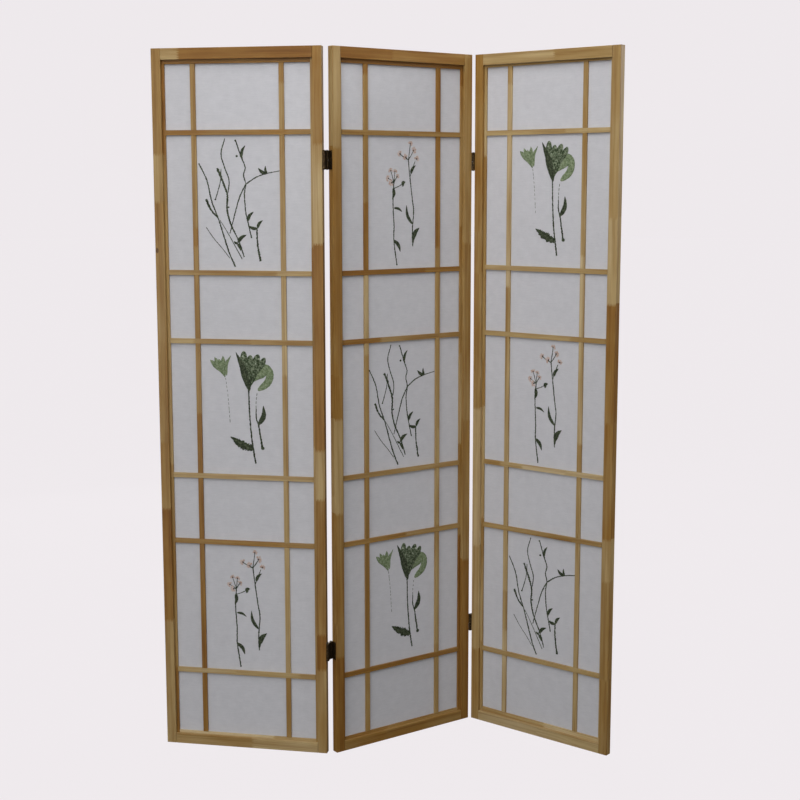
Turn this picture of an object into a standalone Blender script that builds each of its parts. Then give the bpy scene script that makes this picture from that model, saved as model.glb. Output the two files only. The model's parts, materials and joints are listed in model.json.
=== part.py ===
"""Folding room divider screen: three lattice panels joined by double-action hinges.

Blender 4.5, metres, +Z up. The centre panel stands across X with its front facing -Y,
and the world origin is the middle of its underside. The left panel is folded back about
the rear pins of the left hinges, and the right panel is folded forward about the front
pins of the right hinges. Run with: blender --background --python part.py
"""
import math

import bmesh
import bpy
from mathutils import Vector

# Panel
PANEL_WIDTH = 0.432
PANEL_HEIGHT = 1.785
PANEL_THICKNESS = 0.019
STILE_FACE = 0.024
TOP_RAIL_FACE = 0.028
BOTTOM_RAIL_FACE = 0.026
RABBET_WIDTH = 0.0075        # cut into the back of stiles and rails for the lattice to drop into
FRAME_ARRIS = 0.0008
GAP = 0.0003                 # glue line or clearance between pieces that meet

# Lattice: a border of strips, 2 uprights and 6 cross bars, half lapped where they cross
LATTICE_RECESS = 0.008       # lattice front behind the frame's front
LATTICE_THICKNESS = 0.005
BAR_FACE = 0.0125
BORDER_SHOWN_SIDE = 0.007    # width of border strip seen beside the stile
BORDER_SHOWN_TOP = 0.010
BORDER_SHOWN_BOTTOM = 0.007
NARROW_COLUMN = 0.066        # clear width of the outer columns of windows
SHORT_ROW = 0.160            # clear heights: short and tall rows alternate
TALL_ROW = 0.333
LATTICE_RISE = {"left": 0.0, "centre": 0.0, "right": 0.0042}
BAR_ARRIS = 0.0004

# Translucent sheet behind the lattice
SHEET_THICKNESS = 0.0004
SHEET_MARGIN = 0.001         # sheet edge inside the lattice's outer edge

# Double-action hinges: 2 leaves and a link plate on 2 pins
HINGE_GAP = 0.008            # between the edges of two panels in line
HINGE_HEIGHT = 0.046
HINGE_INSET = 0.272          # hinge centre from the panel's top or bottom
PIN_PROUD = 0.001            # pin axis outside the panel's face
PIN_RADIUS = 0.0015
BORE_RADIUS = 0.00165
BARREL_RADIUS = 0.0038
LEAF_THICKNESS = 0.0013
LINK_THICKNESS = 0.0016
BARREL_CLEARANCE = 0.0005
BARREL_SIDES = 32

# Fold of each pin at rest, in degrees away from in line
LEFT_REAR_FOLD = 56.0
LEFT_FRONT_FOLD = 9.5
RIGHT_FRONT_FOLD = 75.0

HALF_WIDTH = PANEL_WIDTH / 2
HALF_THICKNESS = PANEL_THICKNESS / 2
FRONT = -HALF_THICKNESS
BACK = HALF_THICKNESS
LATTICE_FRONT = FRONT + LATTICE_RECESS
LATTICE_BACK = LATTICE_FRONT + LATTICE_THICKNESS
LAP_FACE = LATTICE_FRONT + LATTICE_THICKNESS / 2
PIN_REACH = HALF_THICKNESS + PIN_PROUD
PIN_SPAN = 2 * PIN_REACH
PANEL_PITCH = PANEL_WIDTH + HINGE_GAP
OVERCUT = 0.005              # cutters run this far past what they cut
OVERLAP = 0.002              # joined solids run this far into each other

MATERIALS = {
    "pine": ((0.42, 0.27, 0.11, 1.0), 0.42, 0.0),
    "sheet": ((0.62, 0.62, 0.62, 1.0), 0.85, 0.0),
    "bronze": ((0.035, 0.024, 0.014, 1.0), 0.38, 0.9),
}


# Scene, collections and materials

def clear_scene():
    for obj in list(bpy.data.objects):
        bpy.data.objects.remove(obj, do_unlink=True)


def new_collection(name):
    collection = bpy.data.collections.new(name)
    bpy.context.scene.collection.children.link(collection)
    return collection


def new_material(name, colour, roughness, metallic):
    material = bpy.data.materials.new(name)
    material.use_nodes = True
    shader = material.node_tree.nodes["Principled BSDF"]
    shader.inputs["Base Color"].default_value = colour
    shader.inputs["Roughness"].default_value = roughness
    shader.inputs["Metallic"].default_value = metallic
    material.diffuse_color = colour
    return material


# Solids

def add_block(mesh_edit, low, high):
    """Add one box between two corners."""
    low, high = Vector(low), Vector(high)
    verts = bmesh.ops.create_cube(mesh_edit, size=1.0)["verts"]
    bmesh.ops.scale(mesh_edit, vec=high - low, verts=verts)
    bmesh.ops.translate(mesh_edit, vec=(low + high) / 2, verts=verts)


def add_round(mesh_edit, centre, radius, bottom, top):
    """Add one upright cylinder."""
    verts = bmesh.ops.create_cone(
        mesh_edit, cap_ends=True, segments=BARREL_SIDES,
        radius1=radius, radius2=radius, depth=top - bottom)["verts"]
    bmesh.ops.translate(mesh_edit, vec=(centre[0], centre[1], (top + bottom) / 2), verts=verts)


def finish_mesh(name, mesh_edit, collection):
    mesh = bpy.data.meshes.new(name)
    mesh_edit.to_mesh(mesh)
    mesh_edit.free()
    obj = bpy.data.objects.new(name, mesh)
    collection.objects.link(obj)
    return obj


def block_object(name, low, high, collection):
    mesh_edit = bmesh.new()
    add_block(mesh_edit, low, high)
    return finish_mesh(name, mesh_edit, collection)


def blocks_object(name, corners, collection):
    """Several separate boxes in one cutter."""
    mesh_edit = bmesh.new()
    for low, high in corners:
        add_block(mesh_edit, low, high)
    return finish_mesh(name, mesh_edit, collection)


def round_object(name, centre, radius, bottom, top, collection):
    mesh_edit = bmesh.new()
    add_round(mesh_edit, centre, radius, bottom, top)
    return finish_mesh(name, mesh_edit, collection)


def combine(obj, tool, operation):
    """Boolean with a tool object that is itself never shown."""
    tool.hide_render = True
    tool.display_type = "WIRE"
    tool.parent = obj
    modifier = obj.modifiers.new(f"{operation.lower()} {tool.name}", "BOOLEAN")
    modifier.operation = operation
    modifier.solver = "EXACT"
    modifier.object = tool


def ease_edges(obj, width, segments):
    modifier = obj.modifiers.new("eased edges", "BEVEL")
    modifier.width = width
    modifier.segments = segments
    modifier.limit_method = "ANGLE"
    modifier.angle_limit = math.radians(40)


def attach(obj, parent, offset, material):
    obj.parent = parent
    obj.location = offset
    obj.data.materials.append(material)


# Frame members, in panel coordinates: origin at the middle of the panel's underside

def stile(name, side, parts, tools):
    """One upright with a rabbet along its inner back corner. side is -1 left, +1 right."""
    outer, inner = side * HALF_WIDTH, side * (HALF_WIDTH - STILE_FACE)
    wall = side * (HALF_WIDTH - STILE_FACE + RABBET_WIDTH)
    past = inner - side * OVERCUT
    obj = block_object(name, (min(outer, inner), FRONT, 0),
                       (max(outer, inner), BACK, PANEL_HEIGHT), parts)
    ease_edges(obj, FRAME_ARRIS, 2)
    rabbet = block_object(name + "_rabbet", (min(past, wall), LATTICE_FRONT, -OVERCUT),
                          (max(past, wall), BACK + OVERCUT, PANEL_HEIGHT + OVERCUT), tools)
    combine(obj, rabbet, "DIFFERENCE")
    return obj


def rail(name, level, face, parts, tools):
    """One cross rail whose rebated ends lap behind the stiles. level is -1 bottom, +1 top."""
    outer = PANEL_HEIGHT if level > 0 else 0.0
    inner = outer - level * face
    wall = outer - level * (face - RABBET_WIDTH)
    past = inner - level * OVERCUT
    shoulder = HALF_WIDTH - STILE_FACE - GAP
    lap_end = shoulder + RABBET_WIDTH
    obj = block_object(name, (-shoulder, FRONT, min(outer, inner)),
                       (shoulder, BACK, max(outer, inner)), parts)
    ease_edges(obj, FRAME_ARRIS, 2)
    rabbet = block_object(name + "_rabbet", (-lap_end, LATTICE_FRONT, min(past, wall)),
                          (lap_end, BACK + OVERCUT, max(past, wall)), tools)
    combine(obj, rabbet, "DIFFERENCE")
    laps = block_object(name + "_laps", (-lap_end, LATTICE_FRONT + GAP, min(outer, wall)),
                        (lap_end, BACK, max(outer, wall)), tools)
    combine(obj, laps, "UNION")
    return obj


def top_rail(name, rise, parts, tools):
    """The top rail with the lattice's top border strip glued into its rabbet."""
    obj = rail(name, 1, TOP_RAIL_FACE, parts, tools)
    half = HALF_WIDTH - STILE_FACE - BORDER_SHOWN_SIDE - GAP
    bed = PANEL_HEIGHT - TOP_RAIL_FACE + RABBET_WIDTH + OVERLAP
    strip = block_object(name + "_strip", (-half, LATTICE_FRONT, lattice_top(rise)),
                         (half, LATTICE_BACK, bed), tools)
    combine(obj, strip, "UNION")
    return obj


# Lattice

def lattice_bottom(rise):
    """Top edge of the bottom border strip."""
    return BOTTOM_RAIL_FACE + BORDER_SHOWN_BOTTOM + rise


def lattice_top(rise):
    """Bottom edge of the top border strip."""
    return PANEL_HEIGHT - TOP_RAIL_FACE - BORDER_SHOWN_TOP + rise


def upright_centres():
    x = HALF_WIDTH - STILE_FACE - BORDER_SHOWN_SIDE - NARROW_COLUMN - BAR_FACE / 2
    return (-x, x)


def cross_bar_centres(rise):
    """Cross bar heights from the top down, with short and tall rows between them."""
    heights = []
    edge = lattice_top(rise)
    for row in range(6):
        edge -= SHORT_ROW if row % 2 == 0 else TALL_ROW
        heights.append(edge - BAR_FACE / 2)
        edge -= BAR_FACE
    return heights


def side_border(name, side, rise, parts):
    inner = side * (HALF_WIDTH - STILE_FACE - BORDER_SHOWN_SIDE)
    outer = inner + side * BAR_FACE
    top = min(lattice_top(rise) + BAR_FACE, PANEL_HEIGHT - TOP_RAIL_FACE + RABBET_WIDTH - GAP)
    obj = block_object(name, (min(inner, outer), LATTICE_FRONT + GAP, lattice_bottom(rise) - BAR_FACE),
                       (max(inner, outer), LATTICE_BACK, top), parts)
    ease_edges(obj, BAR_ARRIS, 1)
    return obj


def bottom_border(name, rise, parts):
    half = HALF_WIDTH - STILE_FACE - BORDER_SHOWN_SIDE - GAP
    top = lattice_bottom(rise)
    obj = block_object(name, (-half, LATTICE_FRONT + GAP, top - BAR_FACE), (half, LATTICE_BACK, top), parts)
    ease_edges(obj, BAR_ARRIS, 1)
    return obj


def upright_bar(name, x, rise, parts, tools):
    """An upright with half-lap notches in its front, one for each cross bar."""
    half = BAR_FACE / 2
    obj = block_object(name, (x - half, LATTICE_FRONT, lattice_bottom(rise) + GAP),
                       (x + half, LATTICE_BACK, lattice_top(rise) - GAP), parts)
    notches = [((x - half - OVERCUT, LATTICE_FRONT - OVERCUT, z - half - GAP),
                (x + half + OVERCUT, LAP_FACE + GAP / 2, z + half + GAP))
               for z in cross_bar_centres(rise)]
    combine(obj, blocks_object(name + "_notches", notches, tools), "DIFFERENCE")
    return obj


def cross_bar(name, z, parts, tools):
    """A cross bar with half-lap notches in its back, one for each upright."""
    half = BAR_FACE / 2
    end = HALF_WIDTH - STILE_FACE - BORDER_SHOWN_SIDE - GAP
    obj = block_object(name, (-end, LATTICE_FRONT, z - half), (end, LATTICE_BACK, z + half), parts)
    notches = [((x - half - GAP, LAP_FACE - GAP / 2, z - half - OVERCUT),
                (x + half + GAP, LATTICE_BACK + OVERCUT, z + half + OVERCUT))
               for x in upright_centres()]
    combine(obj, blocks_object(name + "_notches", notches, tools), "DIFFERENCE")
    return obj


def backing_sheet(name, rise, parts):
    half = HALF_WIDTH - STILE_FACE - BORDER_SHOWN_SIDE + BAR_FACE - SHEET_MARGIN
    low = lattice_bottom(rise) - BAR_FACE + SHEET_MARGIN
    high = min(lattice_top(rise) + BAR_FACE, PANEL_HEIGHT - TOP_RAIL_FACE + RABBET_WIDTH) - SHEET_MARGIN
    front = LATTICE_BACK + GAP
    return block_object(name, (-half, front, low), (half, front + SHEET_THICKNESS, high), parts)


def build_panel(side, parent, offset, parts, tools, materials):
    """All the pieces of one panel. offset is the panel's underside centre from its parent."""
    rise = LATTICE_RISE[side]
    wood = [
        stile(side + "_stile_left", -1, parts, tools),
        stile(side + "_stile_right", 1, parts, tools),
        top_rail(side + "_rail_top", rise, parts, tools),
        rail(side + "_rail_bottom", -1, BOTTOM_RAIL_FACE, parts, tools),
        side_border(side + "_border_left", -1, rise, parts),
        side_border(side + "_border_right", 1, rise, parts),
        bottom_border(side + "_border_bottom", rise, parts),
    ]
    for number, x in enumerate(upright_centres(), start=1):
        wood.append(upright_bar(f"{side}_upright_{number}", x, rise, parts, tools))
    for number, z in enumerate(cross_bar_centres(rise), start=1):
        wood.append(cross_bar(f"{side}_cross_bar_{number}", z, parts, tools))
    for obj in wood:
        attach(obj, parent, offset, materials["pine"])
    attach(backing_sheet(side + "_sheet", rise, parts), parent, offset, materials["sheet"])


# Hinges, in hinge coordinates: origin midway between the pins, halfway up, X across the gap

def hinge_leaf(name, hand, parts, tools):
    """A leaf on the edge of the panel at X < 0 that wraps the front pin (hand 1),
    or its half turn: on the panel at X > 0, wrapping the rear pin (hand -1)."""
    half = HINGE_HEIGHT / 2
    outer = HINGE_GAP / 2 - GAP
    inner = outer - LEAF_THICKNESS
    clear = math.sqrt((BARREL_RADIUS + BARREL_CLEARANCE) ** 2 - inner ** 2)
    plate_end = PIN_REACH - clear
    seam = GAP / 2
    obj = block_object(name, (-outer, -plate_end, -half), (-inner, plate_end, half), parts)
    neck = block_object(name + "_neck", (-outer, -PIN_REACH, seam), (-inner, 0, half), tools)
    knuckle = round_object(name + "_knuckle", (0, -PIN_REACH), BARREL_RADIUS, seam, half, tools)
    bore = round_object(name + "_bore", (0, -PIN_REACH), BORE_RADIUS, -half - OVERCUT,
                        half + OVERCUT, tools)
    combine(obj, neck, "UNION")
    combine(obj, knuckle, "UNION")
    combine(obj, bore, "DIFFERENCE")
    obj.rotation_euler.z = 0.0 if hand > 0 else math.pi
    return obj


def hinge_link(name, parts, tools):
    """The link plate, a knuckle below the seam on each pin, and both pins."""
    half = HINGE_HEIGHT / 2
    thin = LINK_THICKNESS / 2
    seam = -GAP / 2
    upper_reach = PIN_REACH - BARREL_RADIUS - BARREL_CLEARANCE
    obj = block_object(name, (-thin, -upper_reach, -half), (thin, upper_reach, half), parts)
    lower = block_object(name + "_lower", (-thin, -PIN_REACH, -half), (thin, PIN_REACH, seam), tools)
    combine(obj, lower, "UNION")
    for label, y in (("front", -PIN_REACH), ("rear", PIN_REACH)):
        knuckle = round_object(f"{name}_{label}_knuckle", (0, y), BARREL_RADIUS, -half, seam, tools)
        pin = round_object(f"{name}_{label}_pin", (0, y), PIN_RADIUS, seam - OVERCUT, half, tools)
        combine(obj, knuckle, "UNION")
        combine(obj, pin, "UNION")
    return obj


def build_hinges(joint, front_panel, rear_panel, link_parent, parts, tools, material):
    """Upper and lower hinge of one joint line.

    front_panel, rear_panel and link_parent are (parent, offset) pairs: the panel whose leaf
    wraps the front pin, the panel whose leaf wraps the rear pin, and the links' own body.
    """
    for level, height in (("upper", PANEL_HEIGHT - HINGE_INSET), ("lower", HINGE_INSET)):
        stem = f"hinge_{joint}_{level}"
        pieces = (
            (hinge_leaf(stem + "_front_leaf", 1, parts, tools), front_panel),
            (hinge_leaf(stem + "_rear_leaf", -1, parts, tools), rear_panel),
            (hinge_link(stem + "_link", parts, tools), link_parent),
        )
        for obj, (parent, offset) in pieces:
            attach(obj, parent, offset + Vector((0, 0, height)), material)


# Assembly

def pin_empty(name, parent, location, fold, collection):
    """An empty on a pin's axis that carries everything beyond that pin."""
    empty = bpy.data.objects.new(name, None)
    empty.empty_display_size = 0.05
    empty.parent = parent
    empty.location = location
    empty.rotation_euler.z = math.radians(fold)
    collection.objects.link(empty)
    return empty


def build_screen():
    parts = new_collection("folding_room_divider")
    tools = new_collection("cutters")
    materials = {name: new_material(name, *look) for name, look in MATERIALS.items()}

    joint_x = PANEL_PITCH / 2
    left_rear_pin = pin_empty("left_rear_pin", None, (-joint_x, PIN_REACH, 0), -LEFT_REAR_FOLD, parts)
    left_front_pin = pin_empty("left_front_pin", left_rear_pin, (0, -PIN_SPAN, 0), LEFT_FRONT_FOLD, parts)
    right_front_pin = pin_empty("right_front_pin", None, (joint_x, -PIN_REACH, 0), -RIGHT_FRONT_FOLD, parts)
    right_rear_pin = pin_empty("right_rear_pin", right_front_pin, (0, PIN_SPAN, 0), 0.0, parts)

    build_panel("centre", None, Vector((0, 0, 0)), parts, tools, materials)
    build_panel("left", left_front_pin, Vector((-joint_x, PIN_REACH, 0)), parts, tools, materials)
    build_panel("right", right_rear_pin, Vector((joint_x, -PIN_REACH, 0)), parts, tools, materials)

    build_hinges("left",
                 front_panel=(left_front_pin, Vector((0, PIN_REACH, 0))),
                 rear_panel=(None, Vector((-joint_x, 0, 0))),
                 link_parent=(left_rear_pin, Vector((0, -PIN_REACH, 0))),
                 parts=parts, tools=tools, material=materials["bronze"])
    build_hinges("right",
                 front_panel=(None, Vector((joint_x, 0, 0))),
                 rear_panel=(right_rear_pin, Vector((0, -PIN_REACH, 0))),
                 link_parent=(right_front_pin, Vector((0, PIN_REACH, 0))),
                 parts=parts, tools=tools, material=materials["bronze"])
    tools.hide_render = True


clear_scene()
build_screen()
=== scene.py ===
"""Looks of the folding room divider screen: pine, cloth, printed motifs, hinges and studio.

Lengths are metres in the model's own frame. A panel's own coordinates have their origin at the
middle of its underside, x along its width to the right seen from the front, y to the back and
z up. Each panel's place and turn come from the record's feet and hinge pins.
"""
import json
import math
import random

import bmesh
import bpy
from mathutils import Matrix, Vector


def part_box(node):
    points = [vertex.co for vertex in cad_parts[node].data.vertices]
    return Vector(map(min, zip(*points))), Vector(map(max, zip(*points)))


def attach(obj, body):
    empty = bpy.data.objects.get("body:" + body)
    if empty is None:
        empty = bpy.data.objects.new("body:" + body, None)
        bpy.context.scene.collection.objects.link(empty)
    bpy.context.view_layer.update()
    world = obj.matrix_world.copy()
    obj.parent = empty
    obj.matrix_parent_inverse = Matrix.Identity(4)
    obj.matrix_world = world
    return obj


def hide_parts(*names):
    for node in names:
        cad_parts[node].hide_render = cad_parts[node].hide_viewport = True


# Camera
CAMERA_PLACE = (-2.1766, -3.0040, 1.4466)
CAMERA_HEADING = 35.822      # degrees from +Y towards +X
CAMERA_PITCH = 8.346         # degrees below level
CAMERA_ROLL = -0.032
LENS = 65.23
SENSOR = 36.0

SIDES = ("left", "centre", "right")


# Node graphs

class Graph:
    """Adds nodes to a node tree and links them in one call."""

    def __init__(self, tree):
        self.tree = tree

    def feed(self, socket, value):
        if isinstance(value, bpy.types.NodeSocket):
            self.tree.links.new(value, socket)
        else:
            socket.default_value = value

    def fill(self, node, inputs):
        """Feed several sockets of a node with links or constants."""
        for key, value in inputs.items():
            self.feed(node.inputs[key], value)

    def node(self, kind, inputs=None, **settings):
        made = self.tree.nodes.new(kind)
        for name, value in settings.items():
            setattr(made, name, value)
        self.fill(made, inputs or {})
        return made

    def place(self):
        return self.node("ShaderNodeTexCoord").outputs["Object"]

    def bump(self, strength, distance, height):
        return self.node("ShaderNodeBump", {
            "Strength": strength, "Distance": distance, "Height": height}).outputs[0]

    def math(self, operation, *values, clamp=False):
        made = self.node("ShaderNodeMath", operation=operation, use_clamp=clamp)
        for socket, value in zip(made.inputs, values):
            self.feed(socket, value)
        return made.outputs[0]

    def plus(self, *values, **options):
        return self.math("ADD", *values, **options)

    def minus(self, *values):
        return self.math("SUBTRACT", *values)

    def times(self, *values):
        return self.math("MULTIPLY", *values)

    def power(self, value, exponent):
        return self.math("POWER", value, exponent)

    def hypotenuse(self, first, second):
        return self.math("SQRT", self.plus(self.power(first, 2.0), self.power(second, 2.0)))

    def vector(self, operation, *values):
        made = self.node("ShaderNodeVectorMath", operation=operation)
        for socket, value in zip(made.inputs, values):
            self.feed(socket, value)
        return made.outputs["Vector"]

    def split(self, vector):
        return self.node("ShaderNodeSeparateXYZ", {"Vector": vector}).outputs

    def join(self, x, y, z):
        return self.node("ShaderNodeCombineXYZ", {"X": x, "Y": y, "Z": z}).outputs[0]

    def noise(self, vector, scale, detail=2.0, roughness=0.5, distortion=0.0):
        made = self.node("ShaderNodeTexNoise", {
            "Vector": vector, "Scale": scale, "Detail": detail,
            "Roughness": roughness, "Distortion": distortion})
        return made.outputs["Fac"]

    def mix(self, factor, first, second, blend="MIX"):
        made = self.node("ShaderNodeMix", data_type="RGBA", blend_type=blend)
        self.feed(made.inputs["Factor"], factor)
        self.feed(made.inputs[6], first)
        self.feed(made.inputs[7], second)
        return made.outputs[2]

    def ramp(self, factor, stops, interpolation="LINEAR"):
        """stops are (position, colour) pairs in order."""
        made = self.node("ShaderNodeValToRGB", {"Fac": factor})
        band = made.color_ramp
        band.interpolation = interpolation
        while len(band.elements) > 1:
            band.elements.remove(band.elements[-1])
        for number, (position, colour) in enumerate(stops):
            stop = band.elements[0] if number == 0 else band.elements.new(position)
            stop.position = position
            stop.color = (*colour[:3], 1.0)
        return made.outputs["Color"]

    def smooth(self, value, low, high):
        made = self.node("ShaderNodeMapRange", {
            "Value": value, "From Min": low, "From Max": high}, interpolation_type="SMOOTHSTEP")
        return made.outputs["Result"]


def new_material(name):
    """A material with only a Principled shader and an output. Returns material, graph, shader."""
    material = bpy.data.materials.new(name)
    material.use_nodes = True
    graph = Graph(material.node_tree)
    return material, graph, material.node_tree.nodes["Principled BSDF"]


# Panels

class Panel:
    def __init__(self, side, origin, turn):
        self.side = side
        self.body = "panel_" + side
        self.origin = Vector(origin)
        self.turn = turn
        self.matrix = Matrix.Translation(self.origin) @ Matrix.Rotation(turn, 4, "Z")

    def place(self, x, y, z):
        return self.matrix @ Vector((x, y, z))

    def heights(self, part):
        """Lowest and highest point of one of the panel's CAD nodes."""
        low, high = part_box(f"{self.side}_{part}")
        return low.z, high.z


def bearing(start, end):
    return math.atan2(end[1] - start[1], end[0] - start[0])


def find_panels(feet, pins):
    """Each panel's place is its foot, and its turn comes from the pins beside it."""
    centre = feet["foot_centre"]
    left_turn = bearing(feet["foot_left"], pins["left_front_pin"]) - bearing(centre, pins["right_front_pin"])
    right_turn = bearing(feet["foot_right"], pins["right_rear_pin"]) - bearing(centre, pins["left_rear_pin"])
    turns = {"left": left_turn, "centre": 0.0, "right": right_turn}
    return {side: Panel(side, feet["foot_" + side], turns[side]) for side in SIDES}


# Start

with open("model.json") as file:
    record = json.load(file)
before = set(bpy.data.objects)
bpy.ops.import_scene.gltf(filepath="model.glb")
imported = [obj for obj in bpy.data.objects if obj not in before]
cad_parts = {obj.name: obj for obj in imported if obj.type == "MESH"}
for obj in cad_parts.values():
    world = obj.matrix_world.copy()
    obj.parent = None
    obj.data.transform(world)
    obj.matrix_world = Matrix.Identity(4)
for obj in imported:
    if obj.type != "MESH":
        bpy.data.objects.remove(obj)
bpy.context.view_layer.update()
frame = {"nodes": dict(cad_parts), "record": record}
NODES = frame["nodes"]
FEET = {mount["name"]: mount["pos_m"] for mount in frame["record"]["mounts"]}
PINS = {joint["name"]: joint["pos_m"] for joint in frame["record"]["behaviour"]["joints"]}
PANELS = find_panels(FEET, PINS)
HALF_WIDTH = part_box("centre_stile_right")[1].x
SHEET_LOW, SHEET_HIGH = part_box("centre_sheet")


# Pine

TONES = (
    (0.00, (0.620, 0.490, 0.285)),
    (0.30, (0.500, 0.360, 0.165)),
    (0.55, (0.410, 0.262, 0.094)),
    (0.80, (0.345, 0.184, 0.043)),
    (1.00, (0.270, 0.122, 0.021)),
)
PANEL_TONES = {"left": 0.05, "centre": 0.03, "right": -0.08}     # how much browner than the tables
TONE_RISE = 0.30             # tones grow this much browner from the floor to the top
FINGER_PITCH = 0.004
FINGER_LENGTH = 0.009
STREAK_TINT = (0.62, 0.50, 0.36, 1.0)
END_GRAIN_TINT = (0.50, 0.42, 0.32, 1.0)
KNOT_COLOUR = (0.105, 0.045, 0.014, 1.0)
RING_WOBBLE = 0.034          # how far the growth rings bend
RING_SPACING = 0.0024        # least distance between two rings
RING_SPREAD = 0.0016         # added to it by chance
LONGEST_RAMP = 2.0           # metres that one ramp of finger-jointed lengths covers
MOST_BLOCKS = 32.0           # more lengths than any piece has
STRIP_SEED = 57.3            # the top strip differs by this from the rail
LATTICE_EASE = 0.0005
RAIL_FACE = 0.0285           # height of the top rail without the lattice's border strip
BUMP_HEIGHT = 0.0003


def pine_group():
    """Growth rings about an axis outside the piece, fibres and an optional knot.

    Vector has the grain along z. Tone goes from 0, light, to 1, brown. Block is a number that
    differs between the finger-jointed lengths of one piece.
    """
    group = bpy.data.node_groups.new("pine grain", "ShaderNodeTree")
    face = group.interface
    for way, kind, names in (
            ("INPUT", "Vector", ("Vector", "Knot")),
            ("INPUT", "Float", ("Tone", "Block", "End Grain", "Knot Size")),
            ("OUTPUT", "Color", ("Color",)), ("OUTPUT", "Float", ("Roughness", "Height"))):
        for name in names:
            face.new_socket(name, in_out=way, socket_type="NodeSocket" + kind)
    g = Graph(group)
    given = g.node("NodeGroupInput").outputs
    x, y, z = g.split(given["Vector"])

    chance = g.node("ShaderNodeTexWhiteNoise", {"W": given["Block"]}, noise_dimensions="1D")
    first, second, third = g.split(chance.outputs["Color"])
    shift = g.vector("SCALE", chance.outputs["Color"])
    g.fill(shift.node, {"Scale": 40.0})
    moved = g.vector("ADD", given["Vector"], shift)

    slow = g.noise(g.vector("MULTIPLY", moved, (7.0, 7.0, 2.2)), 1.0, 3.0)
    wobble = g.times(g.minus(slow, 0.5), RING_WOBBLE)

    knot = g.vector("SUBTRACT", given["Vector"], given["Knot"])
    knot_x, unused, knot_z = g.split(g.vector("MULTIPLY", knot, (1.0, 0.0, 0.6)))
    knot_far = g.hypotenuse(knot_x, knot_z)
    knot_near = g.math("DIVIDE", knot_far, g.math("MAXIMUM", given["Knot Size"], 0.00001))
    swell = g.math("EXPONENT", g.times(g.power(knot_near, 2.0), -0.25))
    knot_lift = g.times(swell, g.times(given["Knot Size"], 1.2))

    across = g.plus(g.plus(x, wobble), g.times(g.minus(first, 0.5), 0.14))
    depth = g.plus(g.minus(y, wobble), g.math("MULTIPLY_ADD", second, 0.05, 0.03))
    radius = g.plus(g.hypotenuse(across, depth), knot_lift)
    spacing = g.math("MULTIPLY_ADD", third, RING_SPREAD, RING_SPACING)
    part = g.math("FRACT", g.math("DIVIDE", radius, spacing))
    late = g.times(g.power(part, 2.4), g.minus(1.0, g.power(part, 14.0)))

    fibre = g.noise(g.vector("MULTIPLY", moved, (900.0, 900.0, 14.0)), 1.0, 3.0, 0.6)
    streak = g.noise(g.vector("MULTIPLY", moved, (110.0, 110.0, 2.6)), 1.0, 3.0, 0.6, 0.4)
    cloud = g.noise(g.vector("MULTIPLY", moved, (22.0, 22.0, 5.0)), 1.0, 3.0, 0.55)

    tone = g.plus(given["Tone"], g.times(g.minus(cloud, 0.5), 0.80), clamp=True)
    base = g.ramp(tone, TONES)
    dark = g.plus(g.times(late, 0.50), g.times(g.minus(streak, 0.40), 2.6))
    dark = g.plus(dark, g.times(g.minus(fibre, 0.5), 0.5), clamp=True)
    grained = g.mix(dark, base, g.mix(1.0, base, STREAK_TINT, "MULTIPLY"))

    core = g.minus(1.0, g.smooth(knot_near, 0.75, 1.15))
    knotted = g.mix(g.times(core, 0.85), grained, KNOT_COLOUR)
    ended = g.mix(g.times(given["End Grain"], 0.65), knotted,
                  g.mix(1.0, knotted, END_GRAIN_TINT, "MULTIPLY"))

    rough = g.math("MULTIPLY_ADD", fibre, 0.16, 0.36)
    rough = g.plus(rough, g.times(given["End Grain"], 0.2))
    height = g.plus(g.times(late, -0.5), g.times(fibre, 0.6))
    g.node("NodeGroupOutput", {"Color": ended, "Roughness": rough, "Height": height})
    return group


PINE = pine_group()


def panel_coordinates(graph, panel, along):
    """The panel's own coordinates and normal, turned so that the grain runs along z."""
    source = graph.node("ShaderNodeTexCoord")
    local = graph.node("ShaderNodeMapping", {
        "Vector": source.outputs["Object"], "Location": panel.origin,
        "Rotation": (0.0, 0.0, panel.turn)}, vector_type="TEXTURE").outputs[0]
    normal = graph.node("ShaderNodeMapping", {
        "Vector": source.outputs["Normal"], "Rotation": (0.0, 0.0, panel.turn)},
        vector_type="TEXTURE").outputs[0]
    if along == "x":
        x, y, z = graph.split(local)
        local = graph.join(z, y, x)
        x, y, z = graph.split(normal)
        normal = graph.join(z, y, x)
    return local, normal


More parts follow.
